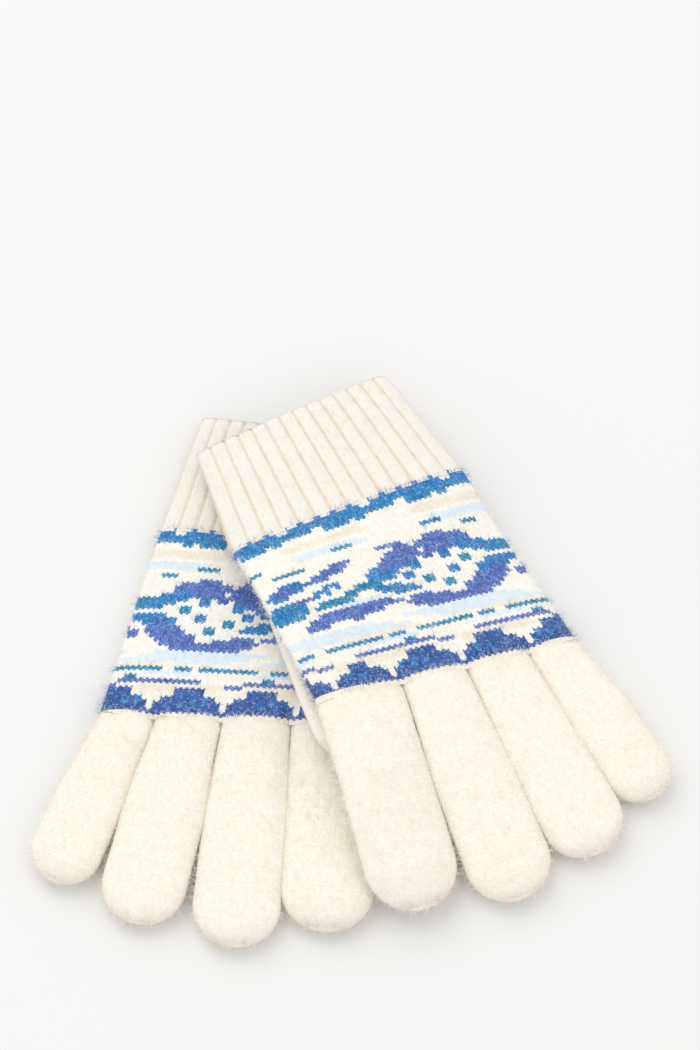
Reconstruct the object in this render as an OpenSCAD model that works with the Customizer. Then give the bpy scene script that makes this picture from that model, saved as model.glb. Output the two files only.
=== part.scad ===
// A pair of knitted gloves at rest: the right glove lies flat, palm down, and the left glove
// lies across it. Each glove is a ribbed cuff, a patterned hand, four fingers and a thumb, all
// of them knitted tubes. Every finger and thumb turns about the line where it joins the hand.
// Frame: +Z up, fingers towards -Y, origin on the resting surface under the middle of the pair.
// One glove is drawn in its own frame: X across the hand with the index finger at -X, Y from
// the knuckle line to the wrist. The right glove is the mirror image of that frame.

/* [Hand] */
// Length of the patterned hand, knuckle line to cuff
hand_l = 76; // [64:1:92]
// Thickness of the hand lying flat
hand_t = 10.6; // [10:0.2:12.8]
// Width of the hand where it meets the cuff
hand_wrist_w = 96; // [80:1:115]
// Thickness of the knitted fabric
wall = 2; // [1.7:0.05:2.4]

/* [Cuff] */
// Length of the ribbed cuff
cuff_l = 51; // [40:1:62]
// Width of the cuff at its mouth
cuff_w = 83; // [69:1:100]
// Thickness of the cuff at its mouth
cuff_t = 9.6; // [8.6:0.1:11.5]
// Number of ribs across one face of the cuff
rib_count = 14; // [8:1:17]
// Depth of the grooves between the ribs
rib_depth = 0.8; // [0.3:0.1:1.1]

/* [Fingers] */
// Width of the index finger at the knuckles
index_base_w = 31.8; // [27:0.2:34]
// Width of the middle finger at the knuckles
middle_base_w = 24.8; // [21:0.2:27]
// Width of the ring finger at the knuckles
ring_base_w = 24.2; // [21:0.2:27]
// Width of the little finger at the knuckles
little_base_w = 19.9; // [17:0.2:23]
// Length of the index finger from the knuckle line
index_l = 77; // [64:1:90]
// Length of the middle finger from the knuckle line
middle_l = 84; // [70:1:98]
// Length of the ring finger from the knuckle line
ring_l = 78; // [65:1:92]
// Length of the little finger from the knuckle line
little_l = 66; // [55:1:78]
// Thickness of a finger at its fullest
finger_t = 11.6; // [10.6:0.2:12.4]
// Free space between neighbouring fingers at the knuckles
finger_gap = 0.8; // [0.6:0.1:1.2]
// How far a finger curls towards the palm, in degrees
curl = 70; // [30:5:80]
// How far a finger lifts, in degrees
lift = 20; // [5:5:25]

/* [Thumbs] */
// Width of a thumb
thumb_w = 24; // [21:0.5:27]
// Length of the right thumb past its bend
thumb_l = 38; // [32:1:41]
// Farthest that the fork between the right thumb and the hand lies from the knuckle line
thumb_fork_limit = 48; // [45:1:49]
// Thickness of a thumb, pressed flat under the left glove
thumb_t = 8.8; // [8.6:0.1:9.4]
// Length of the left thumb, tucked under its palm
tucked_l = 70; // [62:1:76]

/* [Pair] */
// Angle of the left glove, in degrees
left_turn = 20; // [18.5:0.5:21.5]
// Angle of the right glove, in degrees
right_turn = -2.5; // [-3.5:0.5:-1.5]
// Free space left between things that rest on each other
lay_gap = 0.6; // [0.5:0.1:1]

/* [Hidden] */

cream = [0.93, 0.88, 0.79];
pattern_blue = [0.42, 0.56, 0.80];

// Where each glove's knuckle line is centred
left_place = [35.03, -16.09, 0];
right_place = [-42.77, -30.09, 0];
// The hinge line of the four fingers lies a little past the knuckle line
hinge_y = -2;
// Running gap at a hinge line
hinge_gap = 0.35;
// Sideways drift of the glove towards the index side, at the cuff joint and at the mouth
joint_shift = 12;
mouth_shift = 17.3;
// Slope of a knitted course across the glove, at the cuff joint and at the mouth
joint_skew = 0.084;
mouth_skew = 0.12;
cuff_end = hand_l + cuff_l;

INDEX = 0;
MIDDLE = 1;
RING = 2;
LITTLE = 3;
base_w = [index_base_w, middle_base_w, ring_base_w, little_base_w];
finger_l = [index_l, middle_l, ring_l, little_l];
// How much wider a finger is near its tip than at the knuckles
finger_flare = [-0.4, 4.2, 4.2, 3.6];
// Angle of each finger from straight ahead, towards the little finger
left_splay = [-3.5, 1, 6.3, 11.4];
right_splay = [-0.3, 1.9, 9.3, 17.7];
hand_w = index_base_w + middle_base_w + ring_base_w + little_base_w + 3 * finger_gap;
index_x = -hand_w / 2 + index_base_w / 2;
middle_x = index_x + (index_base_w + middle_base_w) / 2 + finger_gap;
ring_x = middle_x + (middle_base_w + ring_base_w) / 2 + finger_gap;
little_x = hand_w / 2 - little_base_w / 2;
base_x = [index_x, middle_x, ring_x, little_x];

// The left glove lies over its own thumb and the right glove along its index side, and comes
// down towards its little side. Its underside is a plane as far back as the thumb reaches.
thumb_back = 50;
little_side = 3;
index_side = 23.8;
knuckle_slope = (little_side - index_side) / hand_w;
joint_index_side = 18;
joint_little_side = hand_t + lay_gap + 0.6;
mouth_height = (hand_t + cuff_t) / 2 + lay_gap + 0.6;
INDEX_SIDE = [[thumb_back, index_side], [hand_l, joint_index_side], [cuff_end, mouth_height]];
LITTLE_SIDE = [[thumb_back, little_side], [hand_l, joint_little_side], [cuff_end, mouth_height]];

// Points round half a side of a hand or cuff section, across its flat, and round a finger
ARC_STEPS = 5;
FLAT_STEPS = 4;
FINGER_POINTS = 20;
// Squareness of a finger section, where 2 is an ellipse
SQUARENESS = 2.6;
// One rib: the groove and the two shoulders of the crown, as [share of the pitch, depth]
RIB_PROFILE = [[0, 1], [0.3, 0], [0.7, 0]];

function smooth(t) = let (c = min(1, max(0, t))) c * c * (3 - 2 * c);
function mix(a, b, t) = a + (b - a) * t;
function power(x, p) = sign(x) * pow(abs(x), p);
function joined(lists) = [for (l = lists) for (x = l) x];
function reversed(list) = [for (i = [len(list) - 1:-1:0]) list[i]];

// Centre, width, thickness and course slope of the glove at a distance from the knuckle line
function centre_x(y) = lookup(y, [[0, 0], [hand_l, -joint_shift], [cuff_end, -mouth_shift]]);
function width_at(y) = lookup(y, [[0, hand_w], [hand_l, hand_wrist_w], [cuff_end, cuff_w]]);
function thickness_at(y) = lookup(y, [[hand_l, hand_t], [cuff_end, cuff_t]]);
function skew_at(y) = lookup(y, [[0, 0], [hand_l, joint_skew], [cuff_end, mouth_skew]]);
function index_edge(y) = centre_x(y) - width_at(y) / 2;

// Height of a glove's underside
function lay(is_left, x, y) =
    is_left ? mix(lookup(y, INDEX_SIDE), lookup(y, LITTLE_SIDE), (x + hand_w / 2) / hand_w) : 0;

// How far an end face is cut back from the hinge line, so that a finger can turn
function relief(up, t) =
    up < t / 2 ? (t / 2 - up) * tan(curl / 2) : (up - t / 2) * tan(lift / 2);

// One round side of a flat tube, as [across, up]
function side_arc(a, r, start) = [
    for (k = [0:ARC_STEPS])
        let (q = start + 180 * k / ARC_STEPS)
        [(start < 0 ? a : -a) + r * cos(q), r + r * sin(q)]
];

// Sections of the tubes: the flat hand, the ribbed cuff and a finger, as [across, up]
function slab_section(w, t) =
    let (r = t / 2, a = w / 2 - r)
    concat(
        side_arc(a, r, -90),
        [for (k = [1:FLAT_STEPS - 1]) [a - 2 * a * k / FLAT_STEPS, t]],
        side_arc(a, r, 90),
        [for (k = [1:FLAT_STEPS - 1]) [2 * a * k / FLAT_STEPS - a, 0]]
    );
function rib_points(a, depth) = [
    for (k = [0:rib_count - 1]) for (p = RIB_PROFILE) if (k + p[0] > 0)
        [a - 2 * a * (k + p[0]) / rib_count, depth * p[1]]
];
function ribbed_section(w, t, depth) =
    let (r = t / 2, a = w / 2 - r, ribs = rib_points(a, depth))
    concat(
        side_arc(a, r, -90),
        [for (p = ribs) [p[0], t - p[1]]],
        side_arc(a, r, 90),
        [for (p = ribs) [-p[0], p[1]]]
    );
function finger_section(w, t) = [
    for (k = [0:FINGER_POINTS - 1])
        let (q = -90 + 360 * k / FINGER_POINTS)
        [w / 2 * power(cos(q), 2 / SQUARENESS), t / 2 * (1 + power(sin(q), 2 / SQUARENESS))]
];

// Skins rings of equal length, either round in a loop or with an end cap on each end
module skin(rings, loop) {
    n = len(rings[0]);
    count = len(rings);
    last = loop ? count - 1 : count - 2;
    sides = [
        for (i = [0:last]) for (k = [0:n - 1])
            let (j = (i + 1) % count, m = (k + 1) % n)
            for (face = [[i * n + k, j * n + k, j * n + m], [i * n + k, j * n + m, i * n + m]])
            face
    ];
    first_cap = [for (k = [0:n - 1]) k];
    last_cap = [for (k = [n - 1:-1:0]) (count - 1) * n + k];
    polyhedron(joined(rings), loop ? sides : concat(sides, [first_cap, last_cap]));
}

// A ring of the hand or cuff. Its inset is 0 on the outside and the wall's thickness inside,
// and cut is 1 at the end that is cut back for the hinge.
function placed(section, is_left, y, inset, cut) = [
    for (p = section)
        let (x = centre_x(y) + p[0], up = p[1] + inset,
             back = cut * (hinge_gap + relief(up, thickness_at(y))))
        [x, y + skew_at(y) * p[0] + back, lay(is_left, x, y) + up]
];
function hand_ring(is_left, y, inset, cut) =
    let (w = width_at(y) - 2 * inset, t = thickness_at(y) - 2 * inset)
    placed(slab_section(w, t), is_left, y, inset, cut);
function cuff_ring(is_left, y, inset) =
    let (w = width_at(y) - 2 * inset, t = thickness_at(y) - 2 * inset)
    placed(ribbed_section(w, t, inset == 0 ? rib_depth : 0), is_left, y, inset, 0);

HAND_STATIONS = [hinge_y, 16, 34, thumb_back, (thumb_back + hand_l) / 2, hand_l];
CUFF_STATIONS = [hand_l, hand_l + cuff_l / 2, cuff_end];

module hand_tube(is_left) {
    ys = HAND_STATIONS;
    outer = [for (y = reversed(ys)) hand_ring(is_left, y, 0, y == hinge_y ? 1 : 0)];
    inner = [for (y = ys) hand_ring(is_left, y, wall, y == hinge_y ? 1 : 0)];
    skin(concat(outer, inner), true);
}

module cuff(is_left) {
    outer = [for (y = reversed(CUFF_STATIONS)) cuff_ring(is_left, y, 0)];
    inner = [for (y = CUFF_STATIONS) cuff_ring(is_left, y, wall)];
    color(cream) skin(concat(outer, inner), true);
}

// A finger: share of its knuckle height that is left at a share of its length, and how its
// sideways slope changes. The left index finger comes down beside the right one it lies on.
FALL = [[0, 1], [0.15, 0.94], [0.35, 0.68], [0.6, 0.32], [0.8, 0.1], [0.95, 0.01], [1, 0]];
INDEX_FALL = [[0, 1], [0.15, 0.96], [0.35, 0.81], [0.6, 0.54], [0.8, 0.33], [0.95, 0.2], [1, 0.18]];
SLOPE = [[0, 1], [0.35, 0.7], [0.8, 0.05], [1, 0]];
INDEX_SLOPE = [[0, 1], [0.35, 1.3], [0.6, 1.45], [0.8, 1], [1, 0.5]];
TIP_ANGLES = [0, 28, 50, 68, 80];
FINGER_STATIONS = [10, 22, 35];
lying_gap = 0.3;

function fall(is_left, i, f) = is_left ? lookup(f, i == INDEX ? INDEX_FALL : FALL) : 0;
function slope(is_left, i, f) =
    is_left ? knuckle_slope * lookup(f, i == INDEX ? INDEX_SLOPE : SLOPE) : 0;
function finger_w_at(i, s) = base_w[i] + finger_flare[i] * smooth(s / (0.65 * finger_l[i]));
function finger_t_at(s) = mix(hand_t, finger_t, smooth(s / 30));

// A ring of a finger at a distance from the hinge line. Tip is the angle round the fingertip.
function finger_ring(is_left, i, s, tip, inset) =
    let (a = (is_left ? left_splay : right_splay)[i], f = s / finger_l[i],
         full = finger_t_at(s), t = (full - 2 * inset) * pow(cos(tip), 0.7),
         rise = mix(lying_gap, lay(is_left, base_x[i], hinge_y), fall(is_left, i, f)))
    [for (p = finger_section((finger_w_at(i, s) - 2 * inset) * cos(tip), t))
        [base_x[i] + s * sin(a) + p[0] * cos(a),
         hinge_y - s * cos(a) + p[0] * sin(a),
         (is_left ? rise : 0) + slope(is_left, i, f) * p[0] + (full - t) / 2 + p[1]]
    ];
function knuckle_ring(is_left, i, inset) = [
    for (p = finger_section(base_w[i] - 2 * inset, hand_t - 2 * inset))
        [base_x[i] + p[0], hinge_y - hinge_gap - relief(p[1] + inset, hand_t),
         lay(is_left, base_x[i] + p[0], hinge_y) + p[1] + inset]
];
function finger_rings(is_left, i, inset) =
    let (r = finger_w_at(i, finger_l[i]) / 2 - inset, end = finger_l[i] - inset)
    concat(
        [knuckle_ring(is_left, i, inset)],
        [for (s = FINGER_STATIONS) finger_ring(is_left, i, s, 0, inset)],
        [for (q = TIP_ANGLES) finger_ring(is_left, i, end - r * (1 - sin(q)), q, inset)]
    );
module finger(is_left, i) {
    color(cream)
        skin(concat(reversed(finger_rings(is_left, i, wall)), finger_rings(is_left, i, 0)), false);
}

// The right thumb leaves the edge of the hand, turns forward and lies beside the palm
thumb_bend = 45;
thumb_fork_clear = 1.8;
// A short hand or a wide thumb moves the fork forward, so that the thumb stays clear of the cuff
thumb_fork = min(thumb_fork_limit, hand_l - thumb_w - 4);
thumb_reach = 2.5;
thumb_hinge_x = index_edge(thumb_fork) + thumb_reach;
thumb_start = hinge_gap + thumb_t / 2 * tan(curl / 2);
THUMB_FAN = [0, 0.34, 0.67, 1];
THUMB_RUN = [8, 16];

// A point across the thumb, turned about the fork and then moved along the thumb
function thumb_point(across, up, turn, s) =
    let (c = thumb_fork_clear + thumb_w / 2 - across)
    [thumb_hinge_x - thumb_start - c * sin(turn) - s * cos(turn),
     thumb_fork - thumb_fork_clear + c * cos(turn) - s * sin(turn),
     up];
function thumb_ring(turn, s, tip, inset) =
    let (t = (thumb_t - 2 * inset) * pow(cos(tip), 0.7))
    [for (p = finger_section((thumb_w - 2 * inset) * cos(tip), t))
        thumb_point(p[0], (thumb_t - t) / 2 + p[1], turn, s)];
function thumb_mouth(inset) = [
    for (p = finger_section(thumb_w - 2 * inset, thumb_t - 2 * inset))
        [thumb_hinge_x - hinge_gap - relief(p[1] + inset, thumb_t),
         thumb_fork + thumb_w / 2 - p[0], p[1] + inset]
];
function thumb_rings(inset) =
    let (r = thumb_w / 2 - inset, end = thumb_l - inset)
    concat(
        [thumb_mouth(inset)],
        [for (f = THUMB_FAN) thumb_ring(f * thumb_bend, f, 0, inset)],
        [for (s = THUMB_RUN) thumb_ring(thumb_bend, s, 0, inset)],
        [for (q = TIP_ANGLES) thumb_ring(thumb_bend, end - r * (1 - sin(q)), q, inset)]
    );
module right_thumb() {
    color(cream) skin(concat(reversed(thumb_rings(wall)), thumb_rings(0)), false);
}

// The hand of the right glove is open at its edge, where its thumb starts
module right_hand() {
    side_gap = 0.5;
    depth = 12;
    color(pattern_blue) difference() {
        hand_tube(false);
        translate([thumb_hinge_x + hinge_gap + thumb_start - depth, thumb_fork - side_gap, -1])
            cube([depth, thumb_w + 2 * side_gap, hand_t + 2]);
    }
}

// The left thumb lies flat under the palm along its index side, and turns about an upright
// line through the opening in the palm
tucked_x = -47.5;
tucked_y = 40;
tucked_hole_r = 7.5;
tucked_gap = 0.5;
tucked_top = lay(true, tucked_x, tucked_y);
TUCKED_BACK = [80, 66, 45, 20];
TUCKED_RUN = [0, 14, 28];

function tucked_ring(s, tip, inset) =
    let (t = (thumb_t - 2 * inset) * pow(cos(tip), 0.7))
    [for (p = finger_section((thumb_w - 2 * inset) * cos(tip), t))
        [tucked_x + p[0], tucked_y - s,
         tucked_top - tucked_gap - thumb_t + knuckle_slope * p[0] + (thumb_t - t) / 2 + p[1]]
    ];
function tucked_rings(inset) =
    let (r = thumb_w / 2 - inset, end = tucked_l - thumb_w / 2 - inset)
    concat(
        [for (q = TUCKED_BACK) tucked_ring(-r * sin(q), q, inset)],
        [for (s = TUCKED_RUN) tucked_ring(s, 0, inset)],
        [for (q = TIP_ANGLES) tucked_ring(end - r * (1 - sin(q)), q, inset)]
    );
module tucked_opening(low, high) {
    translate([tucked_x, tucked_y, tucked_top])
        multmatrix([[1, 0, 0, 0], [0, 1, 0, 0], [knuckle_slope, 0, 1, 0]])
            translate([0, 0, low])
                cylinder(r = tucked_hole_r, h = high - low, $fn = 24);
}
module left_thumb() {
    color(cream) difference() {
        skin(tucked_rings(0), false);
        skin(tucked_rings(wall), false);
        tucked_opening(-tucked_gap - thumb_t / 2, wall);
    }
}
module left_hand() {
    color(pattern_blue) difference() {
        hand_tube(true);
        tucked_opening(-2, hand_t / 2);
    }
}

module on_right() {
    translate(right_place) rotate([0, 0, right_turn]) mirror([1, 0, 0]) children();
}
module on_left() {
    translate(left_place) rotate([0, 0, left_turn]) children();
}

on_right() cuff(false);  // right_cuff
on_right() right_hand();
on_right() finger(false, INDEX);  // right_index_finger
on_right() finger(false, MIDDLE);  // right_middle_finger
on_right() finger(false, RING);  // right_ring_finger
on_right() finger(false, LITTLE);  // right_little_finger
on_right() right_thumb();
on_left() cuff(true);  // left_cuff
on_left() left_hand();
on_left() finger(true, INDEX);  // left_index_finger
on_left() finger(true, MIDDLE);  // left_middle_finger
on_left() finger(true, RING);  // left_ring_finger
on_left() finger(true, LITTLE);  // left_little_finger
on_left() left_thumb();
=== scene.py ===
"""A pair of brushed, knitted gloves lying palm down, the left one across the right one."""

import math

import bpy
import numpy as np
from bpy.props import FloatProperty, FloatVectorProperty, IntProperty, PointerProperty
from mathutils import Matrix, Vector


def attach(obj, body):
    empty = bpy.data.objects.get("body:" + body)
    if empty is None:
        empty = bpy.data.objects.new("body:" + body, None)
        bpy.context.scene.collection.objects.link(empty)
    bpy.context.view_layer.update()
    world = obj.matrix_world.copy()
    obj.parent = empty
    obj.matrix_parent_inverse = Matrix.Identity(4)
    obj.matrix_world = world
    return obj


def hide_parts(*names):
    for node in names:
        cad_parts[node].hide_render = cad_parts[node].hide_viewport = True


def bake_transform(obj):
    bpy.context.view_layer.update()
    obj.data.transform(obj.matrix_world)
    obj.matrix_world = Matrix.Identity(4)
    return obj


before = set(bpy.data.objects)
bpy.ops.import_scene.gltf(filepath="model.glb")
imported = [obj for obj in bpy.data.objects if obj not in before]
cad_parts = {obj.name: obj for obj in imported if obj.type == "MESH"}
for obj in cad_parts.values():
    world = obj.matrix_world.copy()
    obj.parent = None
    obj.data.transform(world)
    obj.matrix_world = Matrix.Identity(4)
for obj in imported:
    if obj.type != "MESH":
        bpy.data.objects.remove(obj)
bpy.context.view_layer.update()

bl_info = {
    "name": "Knitted Gloves",
    "version": (1, 0, 0),
    "blender": (4, 5, 0),
    "location": "View3D > Sidebar > Gloves",
    "description": "Builds a pair of knitted gloves with ribbed cuffs and patterned hands",
    "category": "Add Mesh",
}

# ---------------------------------------------------------------------------------------
# The gloves' shape, in millimetres, in one glove's own frame: X across the hand with the
# index finger at -X, Y from the knuckle line to the wrist, Z up from the resting surface.
# ---------------------------------------------------------------------------------------
HAND_L, HAND_T, HAND_WRIST_W = 76.0, 10.6, 96.0
CUFF_L, CUFF_W, CUFF_T = 51.0, 83.0, 9.6
CUFF_END = HAND_L + CUFF_L
BASE_W = (31.8, 24.8, 24.2, 19.9)
FLARE = (1.0, 5.4, 5.4, 4.8)
FINGER_L = (77.0, 84.0, 78.0, 66.0)
FINGER_T = 11.6
FINGER_GAP = 0.8
HAND_W = sum(BASE_W) + 3 * FINGER_GAP
HINGE_Y = -2.0
DIGITS = ("index", "middle", "ring", "little")
SPLAY = {"left": (-3.5, 1.0, 6.3, 11.4), "right": (-0.3, 1.9, 9.3, 17.7)}
TURN = {"left": 20.0, "right": -2.5}
PLACE = {"left": (35.03, -16.09), "right": (-42.77, -30.09)}
THUMB_W, THUMB_T = 24.0, 8.8
RIGHT_THUMB_L, LEFT_THUMB_RUN = 38.0, 46.0
THUMB_FORK, THUMB_FORK_CLEAR, THUMB_REACH = 48.0, 1.8, 2.5
THUMB_BEND = math.radians(45)
THUMB_HINGE_CLEAR = 0.35 + THUMB_T / 2 * math.tan(math.radians(35))
LEFT_THUMB_AT = (-45.3, 40.0)
# Underside of the tilted left glove over its index side and its little-finger side
LAY_AT = (50, HAND_L, CUFF_END)
INDEX_SIDE = (23.8, 18, 11.3)
LITTLE_SIDE = (3, 11.8, 11.3)
TILT = (LITTLE_SIDE[0] - INDEX_SIDE[0]) / HAND_W
# How square a section is: 2 is an ellipse, and more is squarer
CUFF_SQUARE, HAND_SQUARE, TUBE_SQUARE = 3.6, 3.4, 2.35
LAST_TIP_ANGLE = 86
SIDES = ("right", "left")
FALL = ((0, 0.15, 0.35, 0.6, 0.8, 0.95, 1), (1, 0.94, 0.68, 0.32, 0.1, 0.01, 0))
INDEX_FALL = ((0, 0.15, 0.35, 0.6, 0.8, 0.95, 1), (1, 0.96, 0.81, 0.54, 0.33, 0.2, 0.18))
SLOPE = ((0, 0.35, 0.8, 1), (1, 0.7, 0.05, 0))
INDEX_SLOPE = ((0, 0.35, 0.6, 0.8, 1), (1, 1.3, 1.45, 1, 0.5))


def base_x(i):
    return -HAND_W / 2 + sum(BASE_W[:i]) + BASE_W[i] / 2 + i * FINGER_GAP


def smooth(t):
    t = np.clip(t, 0, 1)
    return t * t * (3 - 2 * t)


def eased(x, table, reach):
    """A piecewise table, averaged over a short reach so that it has no kinks."""
    steps = np.linspace(-reach, reach, 9)
    return np.mean([np.interp(np.clip(x + d, 0, 1), *table) for d in steps], axis=0)


def centre_x(y):
    return np.interp(y, (0, HAND_L, CUFF_END), (0, -12, -17.3))


def width_at(y):
    return np.interp(y, (0, HAND_L, CUFF_END), (HAND_W, HAND_WRIST_W, CUFF_W))


def thickness_at(y):
    return np.interp(y, (HAND_L, CUFF_END), (HAND_T, CUFF_T))


def skew_at(y):
    return np.interp(y, (0, HAND_L, CUFF_END), (0, 0.084, 0.12))


def lay(side, x, y):
    """Height of a glove's underside: the left glove lies tilted over the right one."""
    if side == "right":
        return np.zeros_like(np.asarray(x, float) + y)
    a = np.interp(y, LAY_AT, INDEX_SIDE)
    b = np.interp(y, LAY_AT, LITTLE_SIDE)
    return a + (b - a) * (x + HAND_W / 2) / HAND_W


def to_world(side, points):
    """From one glove's frame in millimetres to the pair's frame in metres."""
    p = np.array(points, float)
    if side == "right":
        p[..., 0] *= -1
    a = math.radians(TURN[side])
    x = p[..., 0] * math.cos(a) - p[..., 1] * math.sin(a) + PLACE[side][0]
    y = p[..., 0] * math.sin(a) + p[..., 1] * math.cos(a) + PLACE[side][1]
    return np.stack([x, y, p[..., 2]], -1) / 1000


def outline(w, t, square, count):
    """A closed superellipse from the index edge over the top, evenly spaced round its edge."""
    q = np.linspace(math.pi, -math.pi, 721)
    x = w / 2 * np.sign(np.cos(q)) * np.abs(np.cos(q)) ** (2 / square)
    z = t / 2 * np.sign(np.sin(q)) * np.abs(np.sin(q)) ** (2 / square)
    run = np.concatenate([[0], np.cumsum(np.hypot(np.diff(x), np.diff(z)))])
    at = np.linspace(0, run[-1], count + 1)[:-1]
    return np.interp(at, run, x), np.interp(at, run, z)


# ---------------------------------------------------------------------------------------
# Yarn: the colour of every stitch. A wale is a column of stitches and a course is a row.
# ---------------------------------------------------------------------------------------
# The groove entry is no yarn: it is the painted shade of the cuff's rib grooves
YARNS = ("cream", "beige", "pale", "sky", "teal", "violet", "royal", "cuff", "groove", "finger")
CREAM, BEIGE, PALE, SKY, TEAL, VIOLET, ROYAL, CUFF, GROOVE_SHADE, FINGER = range(10)


def leaf(i, j, ci, cj, length, width, angle):
    a = math.radians(angle)
    u = (i - ci) * math.cos(a) + (j - cj) * math.sin(a)
    v = -(i - ci) * math.sin(a) + (j - cj) * math.cos(a)
    return (u / length) ** 2 + (v / width) ** 2 < 1


def dashes(i, start, length, period):
    return (i - start) % period < length


def hand_yarn(wale, course):
    """Yarn of each stitch of the hand. Wales run from the index side, courses from the cuff."""
    i = np.floor(wale)
    j = np.floor(course)
    palm = i >= 47
    i = np.where(palm, 93 - i, i)
    yarn = np.full(i.shape, CREAM)

    def paint(mask, value):
        yarn[mask] = value

    # Stepped band under the cuff
    step = (i + 3) % 16
    low = 4 + ((step > 3) & (step < 12))
    paint((j >= 0) & (j < low), SKY)
    paint((j >= 3) & (j < low) & (((i * 7 + j * 3) % 5) < 2), TEAL)
    paint((j == 0) & (step > 1) & (step < 9), VIOLET)
    paint((j <= 1) & ((step == 12) | (step == 13)), CREAM)
    paint((j == low - 1) & ((step == 2) | (step == 3) | (step == 9)), CREAM)
    # Light courses and small dashes over the medallion
    paint((j >= 6) & (j <= 7) & dashes(i, 2 + j, 15, 24), BEIGE)
    paint((j >= 9) & (j <= 10) & dashes(i, j, 13, 26), PALE)
    paint((j == 10) & dashes(i, 16, 4, 17), TEAL)
    paint((j == 13) & (i > 22) & (i < 28), VIOLET)
    paint((j == 12) & (i > 39) & (i < 43), TEAL)
    # Medallion: lobes that run to a point on either side, round a lattice of small squares
    ci, cj = 32.0, 22.0
    dx, dy = i - ci, j - cj
    for place, size, turn, yarn_of_lobe in (
            ((-10.4, -2.6), (4.0, 2.1), -26, SKY), ((-6.4, -5.2), (4.4, 2.7), -28, VIOLET),
            ((2.4, -6.8), (5.0, 2.3), 6, VIOLET), ((8.8, -3.6), (5.4, 1.7), 22, SKY),
            ((10.0, 0.6), (5.0, 1.7), -20, SKY), ((5.4, 5.4), (5.4, 2.5), -32, VIOLET),
            ((-4.4, 6.8), (5.4, 1.7), 12, VIOLET), ((-9.8, 1.8), (4.4, 1.2), 22, SKY),
            ((-13.4, -0.8), (2.8, 1.0), 0, TEAL), ((14.0, -1.6), (2.4, 1.0), -8, TEAL)):
        paint(leaf(dx, dy, *place, *size, turn), yarn_of_lobe)
    for place, square in (
            ((-1, -4), VIOLET), ((2, -3), SKY), ((-4, -2), SKY), ((-1, 0), CREAM), ((2, 1), SKY),
            ((5, -1), TEAL), ((-3, 2), TEAL), ((-6, 0), SKY), ((0, 4), TEAL)):
        paint((np.abs(dx - place[0] + 0.5) < 1.1) & (np.abs(dy - place[1] + 0.5) < 1.1), square)
    # A cream course parts the two lobes of the right-hand point
    paint((np.abs(dx - 12) < 6) & (j == 21), CREAM)
    paint((dx < -14) & (dx > -24) & (j == 22 - np.floor(dx / 9 + 2)), TEAL)
    # Leaves round a small block
    paint(leaf(i, j, 13.0, 15.6, 4.8, 1.3, -22), VIOLET)
    paint(leaf(i, j, 4.6, 17.4, 3.8, 1.6, -14), SKY)
    paint(leaf(i, j, 3.8, 17.6, 2.0, 1.2, 20), VIOLET)
    paint(leaf(i, j, 8.4, 27.4, 4.0, 1.5, -22), VIOLET)
    paint(leaf(i, j, 15.4, 27.0, 4.8, 1.9, -12), VIOLET)
    paint((j == 27) & (i > 19) & (i < 23), VIOLET)
    paint(leaf(i, j, 3.0, 23.2, 3.6, 2.8, 0), SKY)
    paint(leaf(i, j, 3.0, 23.2, 3.6, 2.8, 0) & ((i + j) % 3 == 0), TEAL)
    paint(leaf(i, j, 10.4, 20.0, 4.2, 1.3, -14), SKY)
    paint(leaf(i, j, 10.4, 20.0, 4.2, 1.3, -14) & ((i + 2 * j) % 4 == 0), CREAM)
    paint(leaf(i, j, 11.6, 23.6, 4.4, 1.2, -10), TEAL)
    paint((j == 13) & (i > 3) & (i < 10), TEAL)
    paint((j == 21) & (i > 4) & (i < 9), VIOLET)
    paint((j == 25) & (i > 12) & (i < 19), PALE)
    paint(leaf(i, j, 45.5, 19.0, 2.4, 1.2, 16), TEAL)
    paint(leaf(i, j, 45.5, 26.0, 2.4, 1.0, -14), VIOLET)
    # Light band, then dashed courses
    paint((j >= 31) & (j <= 33) & (yarn == CREAM) & dashes(i, 3 * j, 19, 24), PALE)
    paint((j == 34) & dashes(i, 9, 14, 25), BEIGE)
    paint((j == 35) & dashes(i, 6, 10, 16), TEAL)
    paint((j == 35) & dashes(i, 1, 3, 16), SKY)
    paint((j == 36) & dashes(i, 14, 8, 19), PALE)
    paint((j == 37) & dashes(i, 19, 2, 23), TEAL)
    paint((j == 38) & dashes(i, 10, 14, 21), VIOLET)
    paint((j == 39) & dashes(i, 3, 3, 21), VIOLET)
    paint((j >= 39) & (j <= 40) & (yarn == CREAM) & dashes(i, 4 * j, 17, 22), BEIGE)
    # Deep band with notches along its top
    notch = np.min([np.abs(i - c) for c in (4, 14, 26, 38)], axis=0)
    paint((j >= 40) & (notch > (44.5 - j) * 0.6) & ((j > 41) | (notch > 3)), ROYAL)
    paint((j >= 42) & (j <= 43) & (notch > 1) & ((i * 5 + j) % 11 < 2), SKY)
    paint((j >= 45), ROYAL)
    paint((j >= 46), FINGER)
    paint(palm & (yarn != CREAM) & (j > 12) & (j < 31), CREAM)
    paint(palm & (j > 12) & (j < 31) & ((i + (j // 3) * 5) % 11 < 3) & (j % 3 == 0), SKY)
    return yarn


# ---------------------------------------------------------------------------------------
# Knitting: turns rings of points into a mesh whose every stitch stands up from the fabric.
# ---------------------------------------------------------------------------------------
def wrinkle(x, y, seed):
    """Slow, shallow unevenness, as a hand-laid glove has."""
    return (np.sin(0.071 * x + 0.043 * y + seed) + np.sin(0.113 * y - 0.052 * x + 2.1 * seed)
            + 0.6 * np.sin(0.19 * x + 0.14 * y + 3.7 * seed)
            + 0.4 * np.sin(0.31 * y - 0.27 * x + 1.3 * seed)) / 3


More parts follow.
